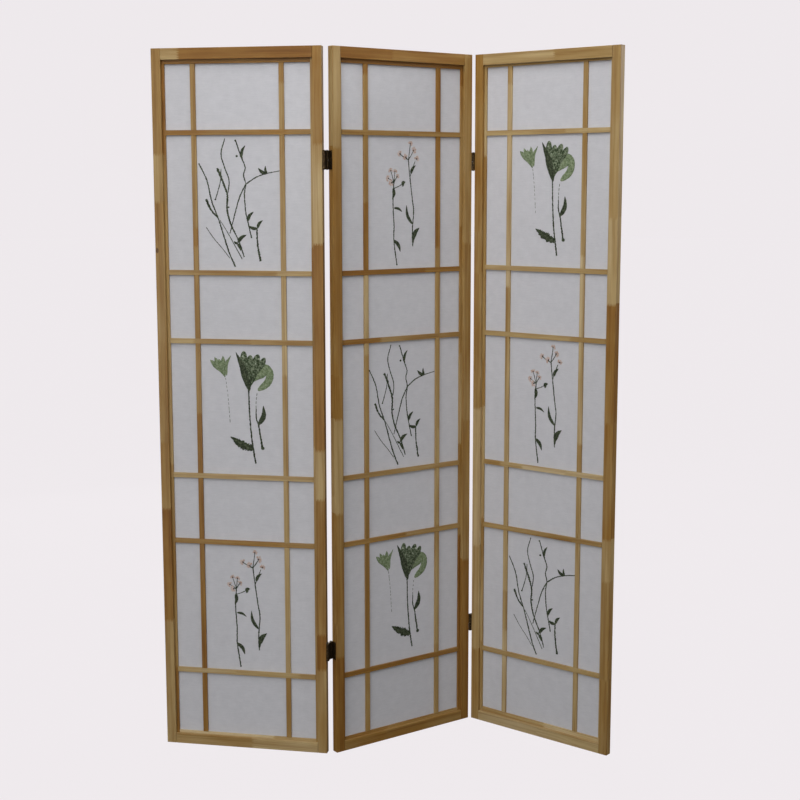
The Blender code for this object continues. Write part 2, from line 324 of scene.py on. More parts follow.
def pine_material(name, panel, along, blocks, seed, knot=None, strip=None):
    """Pine for one piece. along is the grain's direction in the panel, x or z.

    blocks are (start, tone) pairs along the piece, in metres from its lower or left end.
    knot is (across, along, radius) in piece coordinates. strip is (height, tone): below that
    height the piece is a separate stick of that tone, which for the top border strip is partly
    its own tone and partly painted shade under the top rail.
    """
    material, g, shader = new_material(name)
    local, normal = panel_coordinates(g, panel, along)
    x, y, z = g.split(local)

    finger = g.math("PINGPONG", g.plus(x, 1.0), FINGER_PITCH / 2)
    finger = g.times(finger, 2 * FINGER_LENGTH / FINGER_PITCH)
    length = g.plus(z, finger)
    start = blocks[0][0]
    stops = [((position - start) / LONGEST_RAMP, (tone, number / MOST_BLOCKS, 0.0))
             for number, (position, tone) in enumerate(blocks)]
    found = g.ramp(g.math("DIVIDE", g.minus(length, start), LONGEST_RAMP), stops, "CONSTANT")
    tone, number, unused = g.split(found)
    block = g.math("MULTIPLY_ADD", number, MOST_BLOCKS, seed)
    if strip is not None:
        below = g.math("LESS_THAN", x, strip[0])
        tone = g.plus(g.times(tone, g.minus(1.0, below)), g.times(below, strip[1]))
        block = g.plus(block, g.times(below, STRIP_SEED))

    rise = TONE_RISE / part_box("centre_stile_left")[1].z
    tone = g.plus(tone, g.math(
        "MULTIPLY_ADD", x if along == "x" else z, rise, PANEL_TONES[panel.side] - TONE_RISE / 2))

    end_face = g.smooth(g.math("ABSOLUTE", g.split(normal)[2]), 0.8, 0.95)
    across, height, radius = knot or (0.0, 0.0, 0.0)
    grain = g.node("ShaderNodeGroup", {
        "Vector": local, "Tone": tone, "Block": block, "End Grain": end_face,
        "Knot": (across, 0.0, height), "Knot Size": radius}, node_tree=PINE).outputs
    g.fill(shader, {
        "Base Color": grain["Color"], "Roughness": grain["Roughness"],
        "Normal": g.bump(0.35, BUMP_HEIGHT, grain["Height"]),
        "Specular IOR Level": 0.25, "Coat Weight": 0.04, "Coat Roughness": 0.30})
    return material


def dress(obj, material):
    obj.data.materials.clear()
    obj.data.materials.append(material)


def ease_edges(obj, width):
    """Round off the sharp edges of a piece."""
    ease = obj.modifiers.new("eased edges", "BEVEL")
    ease.width = width
    ease.segments = 2
    ease.limit_method = "ANGLE"
    ease.angle_limit = math.radians(50)


def face_outward(obj):
    """Turn every face of a closed piece outward."""
    mesh_edit = bmesh.new()
    mesh_edit.from_mesh(obj.data)
    bmesh.ops.recalc_face_normals(mesh_edit, faces=mesh_edit.faces)
    mesh_edit.to_mesh(obj.data)
    mesh_edit.free()


# Finger-jointed lengths of every stick in the left, centre and right panel: the tone of the first
# one, from its lower or left end, then where each next one starts and its tone. Starts are in
# centimetres from the floor or from the panel's middle, tones in per cent, from 0, light, to 100,
# brown.
BLOCKS = {
    "stile_left": (
        (50, (33, 88), (63, 62), (80, 50), (141, 35), (153, 52)),
        (100, (25.5, 86), (34, 72), (63, 46), (87, 84), (98, 66), (154, 26)),
        (80, (20, 48), (49, 24), (86, 64), (122, 54), (133, 66))),
    "stile_right": (
        (50, (22, 90), (31.5, 62), (67, 32), (79, 80), (131, 16), (155, 58)),
        (92, (45, 60), (83, 52), (130, 42)),
        (82, (20, 68), (46, 40), (57, 82), (86, 90), (116, 24), (137, 33))),
    "border_left": (
        (85, (21, 60), (75, 35), (101, 48), (153, 68), (166, 95)),
        (95, (24, 60), (64, 45), (87, 64), (102, 55), (154, 24)),
        (76, (22, 60), (57, 44), (87, 74), (100, 60), (153, 15), (171, 45))),
    "border_right": (
        (60, (70, 30), (80, 68), (95, 48), (111, 78), (130, 14)),
        (95, (52, 70), (77, 30), (101, 50), (119, 68), (135, 52), (171, 90)),
        (42, (57, 52), (86, 70), (116, 16))),
    "upright_1": (
        (88, (44, 82), (88, 52), (130, 62), (135, 36)),
        (72, (73, 50), (103, 14), (123, 80), (141, 48), (172, 66)),
        (42, (27, 60), (38, 42), (119, 10), (171, 30))),
    "upright_2": (
        (68, (20, 34), (98, 24), (170, 50)),
        (55, (23, 44), (56, 28), (82, 48), (129, 72)),
        (42, (57, 60), (80, 22), (128, 34))),
    "rail_top": ((10, (-14.5, 74)), (82, (-4, 58)), (28, (3, 40))),
    "rail_bottom": ((60, (2, 38)), (78, (-6, 86)), (38, (0, 44))),
    "border_bottom": ((6, (7, 34)), (74, (-5, 62)), (62, (2, 36))),
    "cross_bar_1": ((55, (6, 68), (13, 55)), (50, (2, 42)), (26, (6, 20))),
    "cross_bar_2": ((42, (10, 24)), (88, (7, 80)), (34, (6, 40))),
    "cross_bar_3": ((20, (-12, 50), (3, 30)), (68, (-7, 46), (12, 55)), (42, (8, 46))),
    "cross_bar_4": ((22, (5, 26)), (58, (0, 42)), (60, (-13, 30), (-6, 4), (7, 20))),
    "cross_bar_5": ((62, (11, 55)), (74, (1, 52)), (62, (10, 50))),
    "cross_bar_6": ((42, (-3, 40), (14, 50)), (100, (8, 92)), (54, (9, 50))),
}
LEFT_END = -22
# Tones of the lattice's top border strip, partly the strip's own tone and partly painted shade where the top
# rail shades it
TOP_STRIP_TONES_AND_SHADE = {"left": 0.72, "centre": 1.0, "right": 0.35}
KNOTS = {"left_stile_left": (-0.2115, 1.290, 0.0042)}
LEVEL_PARTS = ("rail", "cross_bar", "border_bottom")    # the grain runs across the panel


def finish_wood(panel):
    """Give every wooden CAD part of a panel its own pine, and take the sharpness off the lattice."""
    for number, (part, sticks) in enumerate(BLOCKS.items()):
        along = "x" if part.startswith(LEVEL_PARTS) else "z"
        name = f"{panel.side}_{part}"
        obj = NODES[name]
        seed = 3.7 * number + 71.3 * SIDES.index(panel.side)
        tone, *others = sticks[SIDES.index(panel.side)]
        first = (0 if along == "z" else LEFT_END, tone)
        blocks = [(start / 100, tone / 100) for start, tone in (first, *others)]
        strip = None
        if part == "rail_top":
            # the strip's tone below the rail face is partly its own and partly painted shade under the top
            # rail
            strip = (panel.heights("rail_top")[1] - RAIL_FACE, TOP_STRIP_TONES_AND_SHADE[panel.side])
        dress(obj, pine_material("pine_" + name, panel, along, blocks, seed, KNOTS.get(name), strip))
        if part.startswith(("upright", "cross_bar", "border")):
            ease_edges(obj, LATTICE_EASE)


# Cloth sheets

def cloth_material():
    material, g, shader = new_material("sheet_cloth")
    at = g.place()
    cloud = g.noise(at, 45.0, 4.0, 0.6)
    fibres = g.noise(at, 520.0, 5.0, 0.65, 1.6)
    fine = g.noise(at, 1900.0, 2.0, 0.5, 0.5)
    weft = g.noise(g.vector("MULTIPLY", at, (45.0, 45.0, 380.0)), 1.0, 3.0, 0.6)
    shade = g.plus(g.times(cloud, 0.30), g.times(fibres, 0.40))
    shade = g.plus(shade, g.times(weft, 0.30))
    height = g.plus(g.times(fibres, 0.7), g.times(fine, 0.3))
    g.fill(shader, {
        "Base Color": g.ramp(shade, ((0.30, (0.552, 0.548, 0.575)), (0.70, (0.675, 0.667, 0.694)))),
        "Normal": g.bump(0.35, BUMP_HEIGHT, height), "Roughness": 0.9,
        "Specular IOR Level": 0.2, "Sheen Weight": 0.15, "Sheen Roughness": 0.5})
    return material


CLOTH = cloth_material()
CLOTH_THICKNESS = 0.0003
CLOTH_MESH = 0.008           # longest side of a facet of the cloth
RIPPLE = 0.001               # deepest ripple of the cloth in a window


def windows(panel):
    """(left, right, low, high) of every opening of the panel's lattice, from the top row down."""
    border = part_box("centre_border_left")[1].x
    edges_x = [border]
    for number in (1, 2):
        edges_x += [corner.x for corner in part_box(f"centre_upright_{number}")]
    edges_x.append(-border)
    edges_z = [panel.heights("upright_1")[1]]
    for number in range(1, 7):
        low, high = panel.heights(f"cross_bar_{number}")
        edges_z += [high, low]
    edges_z.append(panel.heights("border_bottom")[1])
    return [(edges_x[column], edges_x[column + 1], edges_z[row + 1], edges_z[row])
            for row in range(0, len(edges_z), 2) for column in range(0, len(edges_x), 2)]


class Cloth:
    """The cloth of one panel: taut over the lattice, with faint ripples inside each window."""

    def __init__(self, panel):
        self.panel = panel
        self.windows = windows(panel)
        dice = random.Random("cloth " + panel.side)
        self.ripples = [(dice.uniform(-0.9, 0.9), dice.uniform(0.05, 0.085), dice.uniform(0, math.tau),
                         dice.uniform(0.25, 0.6)) for window in self.windows]
        self.face = SHEET_LOW.y

    def depth(self, x, z):
        """How far the cloth's front lies behind the panel's middle plane."""
        for (left, right, low, high), (slope, wave, phase, size) in zip(self.windows, self.ripples):
            if left < x < right and low < z < high:
                across = math.sin(math.pi * (x - left) / (right - left))
                along = math.sin(math.pi * (z - low) / (high - low))
                calm = min(1.0, 1.6 * across * along)
                stripe = 0.5 + 0.5 * math.sin(math.tau * (x * slope + z * 0.6) / wave + phase)
                return self.face + RIPPLE * calm * (0.15 + size * stripe)
        return self.face

    def point(self, x, z, lift=0.0):
        return self.panel.place(x, self.depth(x, z) - lift, z)


def steps(edges, longest):
    """Values that include every edge, no two further apart than longest."""
    values = [edges[0]]
    for low, high in zip(edges, edges[1:]):
        count = max(1, math.ceil((high - low) / longest))
        values += [low + (high - low) * step / count for step in range(1, count + 1)]
    return values


def new_piece(name, points, faces, uvs=None, smooth=True):
    mesh = bpy.data.meshes.new(name)
    mesh.from_pydata([tuple(point) for point in points], [], faces)
    if uvs is not None:
        layer = mesh.uv_layers.new(name="UVMap")
        for loop in mesh.loops:
            layer.data[loop.index].uv = uvs[loop.vertex_index]
    mesh.polygons.foreach_set("use_smooth", [smooth] * len(mesh.polygons))
    mesh.update()
    obj = bpy.data.objects.new(name, mesh)
    bpy.context.scene.collection.objects.link(obj)
    return obj


def sheet_piece(cloth, prints):
    panel = cloth.panel
    low, high = panel.heights("sheet")
    side = SHEET_HIGH.x
    edges_x = sorted({-side, side} | {edge for window in cloth.windows for edge in window[:2]})
    edges_z = sorted({low, high} | {edge for window in cloth.windows for edge in window[2:]})
    columns, rows = steps(edges_x, CLOTH_MESH), steps(edges_z, CLOTH_MESH)
    points = [cloth.point(x, z) for z in rows for x in columns]
    width = len(columns)
    faces = [(row * width + column, row * width + column + 1,
              (row + 1) * width + column + 1, (row + 1) * width + column)
             for row in range(len(rows) - 1) for column in range(width - 1)]
    obj = new_piece(f"{panel.side}_cloth", points, faces)
    thick = obj.modifiers.new("thickness", "SOLIDIFY")
    thick.thickness = CLOTH_THICKNESS
    thick.offset = -1.0
    dress(obj, CLOTH)
    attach(obj, panel.body)
    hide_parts(f"{panel.side}_sheet")
    return obj


# Printed motifs, drawn in millimetres across and up from the middle of a window

MM = 0.001
PATH_STEP = 2.2              # millimetres between two rows of points along a shape
DASH_STEP = 1.2
PRINT_THICKNESS = 0.00005
INK_LAYER = 0.000008         # each shape lies this far in front of the one before
INK_BASE = 0.00012           # first shape in front of the cloth
STROKE_WEIGHT = 1.25         # stems are this much wider than drawn below
INKS = ("olive", "moss", "green", "sage", "pink", "russet")


def smooth_path(points, spacing):
    """Points along a Catmull-Rom curve through the given ones, as (position, share of length)."""
    knots = [Vector(point) for point in points]
    knots = [2 * knots[0] - knots[1]] + knots + [2 * knots[-1] - knots[-2]]
    path = [knots[1].copy()]
    for before, start, end, after in zip(knots, knots[1:], knots[2:], knots[3:]):
        count = max(2, math.ceil((end - start).length / spacing))
        for step in range(1, count + 1):
            t = step / count
            path.append(0.5 * (2 * start + (end - before) * t
                               + (2 * before - 5 * start + 4 * end - after) * t * t
                               + (3 * start - before - 3 * end + after) * t ** 3))
    lengths = [0.0]
    for first, second in zip(path, path[1:]):
        lengths.append(lengths[-1] + (second - first).length)
    return [(point, length / lengths[-1]) for point, length in zip(path, lengths)]


def leaf_width(share):
    """Width of a leaf along its length: rounded near the base, pointed at the tip."""
    return math.sin(math.pi * share ** 0.75) ** 0.85


def broad_width(share):
    """Width of a toothed petal: narrow base, widest near the end, pointed tip."""
    return max(0.02, math.sin(math.pi * (0.06 + 0.94 * share ** 1.9)))


def petal_width(share):
    """Width of a petal: narrow base, broad towards the rounded tip."""
    swell = math.sin(math.pi * (0.05 + 0.62 * share ** 0.85)) ** 0.9
    return swell * math.sqrt(max(0.0, 1 - share ** 7)) + 0.01


class Drawing:
    """The printed shapes of one window, laid on the panel's cloth."""

    def __init__(self, cloth, window, seed):
        left, right, low, high = window
        self.cloth = cloth
        self.x, self.z = (left + right) / 2, (low + high) / 2
        self.dice = random.Random(seed)
        self.points, self.uvs, self.faces, self.inks = [], [], [], []
        self.shapes = 0

    def band(self, points, profile, ink, columns=2, roughness=0.0):
        """A shape along a curved middle line. profile gives its full width from the share of length."""
        lift = INK_BASE + INK_LAYER * self.shapes
        self.shapes += 1
        first, width = len(self.points), columns + 1
        path = smooth_path(points, PATH_STEP)
        for number, (middle, share) in enumerate(path):
            behind = path[max(number - 1, 0)][0]
            ahead = path[min(number + 1, len(path) - 1)][0]
            along = (ahead - behind).normalized()
            side = Vector((-along.y, along.x))
            half = profile(share) / 2
            jitter = [half * roughness * self.dice.uniform(-1, 1) for edge in range(2)]
            for column in range(width):
                across = 2 * column / columns - 1
                reach = across * half + (jitter[0] * max(across, 0) - jitter[1] * min(across, 0)) * across
                spot = MM * (middle + side * reach)
                self.points.append(self.cloth.point(self.x + spot.x, self.z + spot.y, lift))
                self.uvs.append((share, (across + 1) / 2))
        for row in range(len(path) - 1):
            for column in range(columns):
                a = first + row * width + column
                self.faces.append((a, a + 1, a + width + 1, a + width))
                self.inks.append(INKS.index(ink))

    def stroke(self, points, start, end, ink="olive"):
        def profile(share):
            return STROKE_WEIGHT * (start + (end - start) * share)
        self.band(points, profile, ink, roughness=0.4)

    def leaf(self, base, tip, width, ink="olive", bend=0.12, roughness=0.10):
        base, tip = Vector(base), Vector(tip)
        along = tip - base
        middle = base + along * 0.5 + Vector((-along.y, along.x)) * bend
        self.band([base, middle, tip], lambda share: width * leaf_width(share) + 0.6, ink, 6, roughness)

    def leaves(self, *leaves):
        for base, tip, width in leaves:
            self.leaf(base, tip, width)

    def petal(self, points, width, ink):
        self.band(points, lambda share: width * petal_width(share), ink, 6, 0.05)

    def dashes(self, points, width, ink, count):
        """A faint broken line."""
        path = [point for point, share in smooth_path(points, DASH_STEP)]
        length = len(path) // count
        for number in range(count):
            start = number * length + self.dice.randint(0, 1)
            piece = path[start:start + max(3, round(length * self.dice.uniform(0.55, 0.9)))]
            self.band([tuple(point) for point in piece], lambda share: width, ink, roughness=0.3)

    def spot(self, place, size, ink):
        x, z = place
        self.band([(x, z - size / 2), (x, z), (x, z + size / 2)],
                  lambda share: size * math.sqrt(max(0.0, 1 - (2 * share - 1) ** 2)) + 0.2, ink, 4, 0.1)

    def finish(self, name, materials):
        obj = new_piece(name, self.points, self.faces, self.uvs)
        for material in materials:
            obj.data.materials.append(material)
        obj.data.polygons.foreach_set("material_index", self.inks)
        thick = obj.modifiers.new("thickness", "SOLIDIFY")
        thick.thickness = PRINT_THICKNESS
        thick.offset = -1.0
        panel = self.cloth.panel
        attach(obj, panel.body)
        return obj


def draw_twigs(d):
    """Bare slender twigs that lean to the left, with small paired leaves and one long side shoot."""
    d.stroke([(-102, 98), (-82, 56), (-71, 6), (-52, -45), (-29, -118), (-12, -157)], 2.4, 3)
    d.stroke([(-55, 86), (-41, 53), (-30, 20), (-31, -14), (-23, -50), (-2, -94), (11, -133)], 4.6, 2.2)
    d.stroke([(-34, 158), (-44, 122), (-36, 88), (-25, 56), (-28, 26)], 2.2, 2.2)
    d.stroke([(-25, -75), (-11, -26), (2, 16), (19, 47)], 2, 2.6)
    d.stroke([(18, 46), (44, 63), (74, 73), (106, 79)], 2.8, 1.6)
    d.stroke([(-6, 152), (7, 114), (17, 88), (13, 69), (18, 46),
              (14, 20), (17, -22), (24, -55), (31, -86)], 2.4, 2.4)
    d.stroke([(-86, -60), (-66, -88), (-44, -113), (-26, -136)], 1.4, 1.4)
    d.stroke([(-85, 10), (-73, -16), (-57, -34)], 4.4, 3)
    d.stroke([(-45, 84), (-48, 50), (-61, 8)], 1.6, 2.2)
    d.stroke([(-50, -42), (-30, -74), (6, -138)], 1.2, 1.8)
    d.stroke([(45, -60), (46, -98), (53, -143)], 2.8, 4.2)
    d.leaves(((8, 112), (18, 141), 7), ((4, 118), (10, 104), 4.4), ((73, 72), (50, 86), 8),
             ((73, 72), (69, 91), 5.6), ((21, -45), (37, -21), 8), ((46, -62), (24, -56), 8),
             ((46, -62), (60, -42), 7.5), ((-5, -98), (18, -78), 9), ((-4, -100), (-15, -94), 5.6),
             ((-6, -100), (3, -118), 8.4))
    for place, size in (((-4, 115), 6), ((-7, 153), 5), ((-27, -10), 4.6),
                        ((-61, 9), 4.6), ((-44, 120), 4)):
        d.spot(place, size, "olive")


def draw_cup_flowers(d):
    """Two cup-shaped green flower heads on thin stems, one toothed leaf and a budding side shoot."""
    d.dashes([(-43, 82), (-38, 40), (-35, 0), (-32, -45)], 1.2, "moss", 11)
    d.stroke([(17, 52), (19, -15), (24, -77), (33, -137)], 2.6, 3.4)
    d.dashes([(39, 44), (36, 20), (36, 0)], 1.6, "moss", 4)
    d.stroke([(36, 4), (36, -20), (42, -40), (46, -66), (51, -96)], 2, 4.2)
    d.leaf((41, -38), (55, 12), 12.5, bend=-0.14)
    d.leaf((30, -102), (-33, -70), 20, bend=0.04, roughness=0.30)
    d.spot((52, -97), 9.5, "olive")
    for tip, width in (((-83, 126), 13), ((-71, 133), 12.5), ((-60, 129), 12),
                       ((-49, 137), 11.5), ((-38, 128), 9)):
        middle = (-46 + 0.40 * (tip[0] + 46), 104)
        d.band([(-44, 83), middle, tip], lambda share: width * broad_width(share), "green", 6, 0.10)
    d.leaf((-40, 86), (-28, 138), 7.5, "green")
    d.petal(((26, 82), (44, 103), (64, 108), (73, 92), (66, 70), (41, 50)), 20, "green")
    d.petal(((30, 90), (48, 104), (68, 112)), 22, "green")
    d.petal(((18, 70), (38, 88), (66, 98)), 24, "green")
    for points, width in ((((20, 60), (36, 100), (52, 118), (61, 134)), 19),
                          (((18, 58), (30, 104), (44, 142)), 22),
                          (((17, 56), (18, 104), (24, 140)), 21),
                          (((16, 54), (6, 104), (6, 150)), 22)):
        d.petal(points, width, "moss")
    d.leaf((18, 50), (-15, 147), 16.5, "olive", bend=-0.04)
    d.leaf((19, 48), (29, 86), 8.5, "olive")
    for place, size in (((3, 136), 6), ((26, 132), 5), ((45, 130), 5.5),
                        ((36, 118), 4.6), ((13, 118), 4.2)):
        d.spot(place, size, "sage")


def draw_blossom(d, place, size, facing):
    """A small blossom seen from the side: a loose fan of pale petals round a dark eye."""
    x, z = place
    for turn in (-95, -48, 0, 48, 95):
        angle = math.radians(facing + turn + d.dice.uniform(-10, 10))
        reach = size * d.dice.uniform(0.75, 1.05)
        root = (x + reach * 0.25 * math.cos(angle), z + reach * 0.25 * math.sin(angle))
        tip = (x + reach * math.cos(angle), z + reach * math.sin(angle))
        d.petal((root, ((root[0] + tip[0]) / 2, (root[1] + tip[1]) / 2), tip), size * 0.55, "pink")
    d.spot((x - size * 0.10 * math.cos(math.radians(facing)), z), size * 0.48, "russet")


def draw_blossom_stems(d):
    """Two upright stems with narrow dark leaves and loose heads of small pale blossoms."""
    d.stroke([(-24, 52), (-27, 4), (-24, -53), (-24, -96), (-15, -158)], 2.2, 2.8)
    d.stroke([(21, 108), (26, 64), (34, 6), (38, -22), (34, -66), (35, -111)], 2.2, 2.8)
    d.stroke([(-24, 36), (-10, 41), (4, 48)], 1.6, 1.6)
    d.stroke([(26, 64), (33, 82), (42, 104)], 1.8, 1.6)
    d.leaves(((-26, 38), (-29, 8), 9), ((-24, -13), (2, -23), 6), ((-24, -94), (-4, -124), 9.5),
             ((34, -55), (15, -6), 8.5), ((35, -96), (56, -64), 13), ((33, -84), (34, -108), 5.2),
             ((29, 72), (44, 94), 8), ((0, 46), (12, 52), 9), ((3, 50), (3, 40), 7))
    for place, size, facing in (((-34, 80), 8, 110), ((-21, 78), 7.5, 80),
                                ((-14, 66), 7.5, 40), ((-42, 61), 8.5, 160),
                                ((-32, 50), 9.5, 200)):
        d.stroke([(-24, 50), ((place[0] - 24) / 2, (place[1] + 52) / 2), place], 1.6, 1.4)
        draw_blossom(d, place, size, facing)
    for place, size, facing in (((27, 148), 8.5, 60), ((37, 131), 10, 20),
                                ((-6, 122), 9, 160), ((12, 114), 9.5, 150),
                                ((47, 110), 9, 60)):
        if place[0] < 40:
            d.stroke([(21, 108), ((place[0] + 21) / 2, (place[1] + 106) / 2), place], 1.8, 1.4)
        draw_blossom(d, place, size, facing)


def ink_material(name, deep, pale):
    """Screen-printed ink with uneven cover, a lighter vein along the middle of each shape."""
    material, g, shader = new_material("ink_" + name)
    at = g.place()
    u, v, unused = g.split(g.node("ShaderNodeUVMap").outputs[0])
    blot = g.smooth(g.noise(at, 230.0, 3.0, 0.6, 0.6), 0.38, 0.66)
    fibres = g.noise(at, 900.0, 3.0, 0.6, 1.0)
    vein = g.math("ABSOLUTE", g.minus(v, 0.5))
    vein = g.minus(1.0, g.smooth(vein, 0.0, 0.16))
    cover = g.plus(g.times(blot, 0.6), g.times(fibres, 0.4))
    cover = g.plus(cover, g.times(vein, 0.12))
    g.fill(shader, {
        "Base Color": g.ramp(cover, ((0.25, deep), (0.85, pale))),
        "Normal": g.bump(0.3, BUMP_HEIGHT, fibres), "Roughness": 0.8, "Specular IOR Level": 0.25})
    return material


INK_COLOURS = {
    "olive": ((0.022, 0.030, 0.015), (0.090, 0.108, 0.062)),
    "moss": ((0.030, 0.046, 0.020), (0.230, 0.275, 0.175)),
    "green": ((0.130, 0.178, 0.088), (0.290, 0.345, 0.210)),
    "sage": ((0.200, 0.240, 0.150), (0.400, 0.440, 0.340)),
    "pink": ((0.520, 0.360, 0.290), (0.660, 0.560, 0.510)),
    "russet": ((0.060, 0.030, 0.018), (0.200, 0.110, 0.070)),
}
INK_MATERIALS = [ink_material(name, *INK_COLOURS[name]) for name in INKS]
MOTIFS = {"twigs": draw_twigs, "cups": draw_cup_flowers, "blossoms": draw_blossom_stems}
MOTIF_ORDER = {
    "left": ("twigs", "cups", "blossoms"),
    "centre": ("blossoms", "twigs", "cups"),
    "right": ("cups", "blossoms", "twigs"),
}


def print_pieces(cloth):
    """One motif in the middle column of each tall row, from the top down."""
    pieces = []
    for number, motif in enumerate(MOTIF_ORDER[cloth.panel.side]):
        window = cloth.windows[3 * (2 * number + 1) + 1]
        drawing = Drawing(cloth, window, f"{cloth.panel.side} {motif}")
        MOTIFS[motif](drawing)
        pieces.append(drawing.finish(f"{cloth.panel.side}_print_{number + 1}", INK_MATERIALS))
    return pieces


# Hinges

def bronze_material():
    material, g, shader = new_material("antique_bronze")
    at = g.place()
    patch = g.noise(at, 260.0, 4.0, 0.6)
    grain = g.noise(at, 1500.0, 2.0, 0.5)
    colour = g.ramp(patch, ((0.32, (0.026, 0.017, 0.009)), (0.56, (0.075, 0.048, 0.023)),
                            (0.74, (0.230, 0.150, 0.070))))
    g.fill(shader, {
        "Base Color": colour, "Roughness": g.math("MULTIPLY_ADD", grain, 0.25, 0.32),
        "Normal": g.bump(0.2, 0.0001, grain), "Metallic": 0.85})
    return material


def steel_material():
    material, g, shader = new_material("brad_steel")
    at = g.place()
    patch = g.noise(at, 900.0, 3.0, 0.6)
    g.fill(shader, {
        "Base Color": g.ramp(patch, ((0.3, (0.30, 0.29, 0.27)), (0.7, (0.50, 0.49, 0.47)))),
        "Roughness": g.math("MULTIPLY_ADD", patch, 0.3, 0.25), "Metallic": 1.0})
    return material


BRONZE = bronze_material()
STEEL = steel_material()


# Closed shapes from rings of points

RIGHT, BACKWARD, UP = Vector((1, 0, 0)), Vector((0, 1, 0)), Vector((0, 0, 1))
DOME_SIDES = 12
DOME_RINGS = 4
HEAD_SINK = 0.0001           # heads reach this far into what they stand on


def ring(centre, right, up, radius, count):
    """Points round a circle."""
    angles = [math.tau * number / count for number in range(count)]
    return [centre + right * radius * math.cos(angle) + up * radius * math.sin(angle) for angle in angles]


def skin(faces, first, count, rings):
    """Add the quads between rings of points that follow one another, from point first on."""
    for start in range(first, first + (rings - 1) * count, count):
        for number in range(count):
            after = (number + 1) % count
            faces.append((start + number, start + after, start + count + after, start + count + number))


def prism(points, faces, start, end):
    """Add a closed prism between two outlines."""
    first, count = len(points), len(start)
    points += start + end
    skin(faces, first, count, 2)
    faces.append(tuple(reversed(range(first, first + count))))
    faces.append(tuple(range(first + count, first + 2 * count)))


def dome(points, faces, centre, axes, radius, height):
    """Add a low dome. axes are its right, up and outward directions."""
    right, up, out = axes
    first = len(points)
    for level in range(DOME_RINGS):
        angle = math.pi / 2 * level / DOME_RINGS
        points += ring(centre + out * height * math.sin(angle), right, up,
                       radius * math.cos(angle), DOME_SIDES)
    points.append(centre + out * height)
    skin(faces, first, DOME_SIDES, DOME_RINGS)
    top = first + (DOME_RINGS - 1) * DOME_SIDES
    for number in range(DOME_SIDES):
        faces.append((top + number, top + (number + 1) % DOME_SIDES, len(points) - 1))
    faces.append(tuple(reversed(range(first, first + DOME_SIDES))))


def metal_piece(name, points, faces, material, body, smooth=True):
    obj = new_piece(name, points, faces, smooth=smooth)
    dress(obj, material)
    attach(obj, body)
    return obj


# Beads and brads behind the sheet

BEAD_WIDTH = 0.0092
BEAD_THICKNESS = 0.0044
BEAD_ROUND = (0.004, 0.003)  # the rounded corner's reach across and back
BEAD_FACETS = 6
BEAD_EASE = 0.0004
BEAD_GAP = 0.0003            # to the sheet and to the next bead
BEAD_SEED, BEAD_SEED_STEP = 203.0, 5.1
RABBET_SIDE = 0.0027         # from the centre sheet's edges to the rabbet's walls
RABBET_LOW = 0.0026
RABBET_HIGH = 0.0056
BRAD_LINE = 0.36             # share of the bead's width, from the wall
BRAD_SPACING = 0.16
BRAD_INSET = 0.02            # of the first and last brad from the bead's ends
BRAD_SCATTER = 0.006
BRAD_RADIUS = 0.0011
BRAD_RISE = 0.0005


def extrude_stick(name, panel, section, start, end, along):
    """A stick from a closed section. section gives (across, depth) points in panel coordinates."""
    outlines = []
    for at in (start, end):
        outlines.append([panel.place(across, depth, at) if along == "z" else panel.place(at, depth, across)
                         for across, depth in section])
    points, faces = [], []
    prism(points, faces, *outlines)
    if along == "x":
        faces = [tuple(reversed(face)) for face in faces]
    obj = new_piece(name, points, faces, smooth=False)
    face_outward(obj)
    ease_edges(obj, BEAD_EASE)
    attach(obj, panel.body)
    return obj


def bead_section(wall, inward):
    """Half-round bead against a rabbet wall: (across, depth) points. inward is the way to the opening."""
    front = SHEET_HIGH.y + BEAD_GAP
    section = [(wall, front), (wall + inward * BEAD_WIDTH, front)]
    for step in range(BEAD_FACETS + 1):
        angle = math.pi / 2 * step / BEAD_FACETS
        across = BEAD_WIDTH - BEAD_ROUND[0] * (1 - math.cos(angle))
        depth = BEAD_THICKNESS - BEAD_ROUND[1] * (1 - math.sin(angle))
        section.append((wall + inward * across, front + depth))
    section.append((wall, front + BEAD_THICKNESS))
    return section


def brad_line(start, end, dice):
    """Where along a bead its brads are: evenly spaced, all but the end ones a little off."""
    count = round((end - start) / BRAD_SPACING)
    first, last = start + BRAD_INSET, end - BRAD_INSET
    return [first + (last - first) * step / count
            + dice.uniform(-BRAD_SCATTER, BRAD_SCATTER) * (0 < step < count) for step in range(count + 1)]


def add_beads(panel):
    """Four retaining beads that press the sheet's edges into the rabbet, held by brads."""
    low, high = SHEET_LOW.z - RABBET_LOW, SHEET_HIGH.z + RABBET_HIGH
    wall = SHEET_HIGH.x + RABBET_SIDE
    inner = wall - BEAD_WIDTH - BEAD_GAP
    dice = random.Random("beads " + panel.side)
    places = []
    sides = (("left", -wall, 1, "z", low, high), ("right", wall, -1, "z", low, high),
             ("bottom", low, 1, "x", -inner, inner), ("top", high, -1, "x", -inner, inner))
    for number, (place, edge, inward, along, start, end) in enumerate(sides):
        name = f"{panel.side}_bead_{place}"
        obj = extrude_stick(name, panel, bead_section(edge, inward), start, end, along)
        blocks = ((start, dice.uniform(0.2, 0.6)),
                  (start + (end - start) * dice.uniform(0.3, 0.7), dice.uniform(0.2, 0.7)))
        seed = BEAD_SEED + BEAD_SEED_STEP * number
        dress(obj, pine_material("pine_" + name, panel, along, blocks, seed))
        middle = edge + inward * BEAD_WIDTH * BRAD_LINE
        for at in brad_line(start, end, dice):
            places.append((middle, at) if along == "z" else (at, middle))
    add_brads(panel, places)


def add_brads(panel, places):
    points, faces = [], []
    turned = panel.matrix.to_3x3()
    axes = (turned @ -RIGHT, UP, turned @ BACKWARD)
    depth = SHEET_HIGH.y + BEAD_GAP + BEAD_THICKNESS - HEAD_SINK
    for x, z in places:
        dome(points, faces, panel.place(x, depth, z), axes, BRAD_RADIUS, BRAD_RISE)
    metal_piece(f"{panel.side}_brads", points, faces, STEEL, panel.body)


# Screws, pin heads and link covers of the hinges

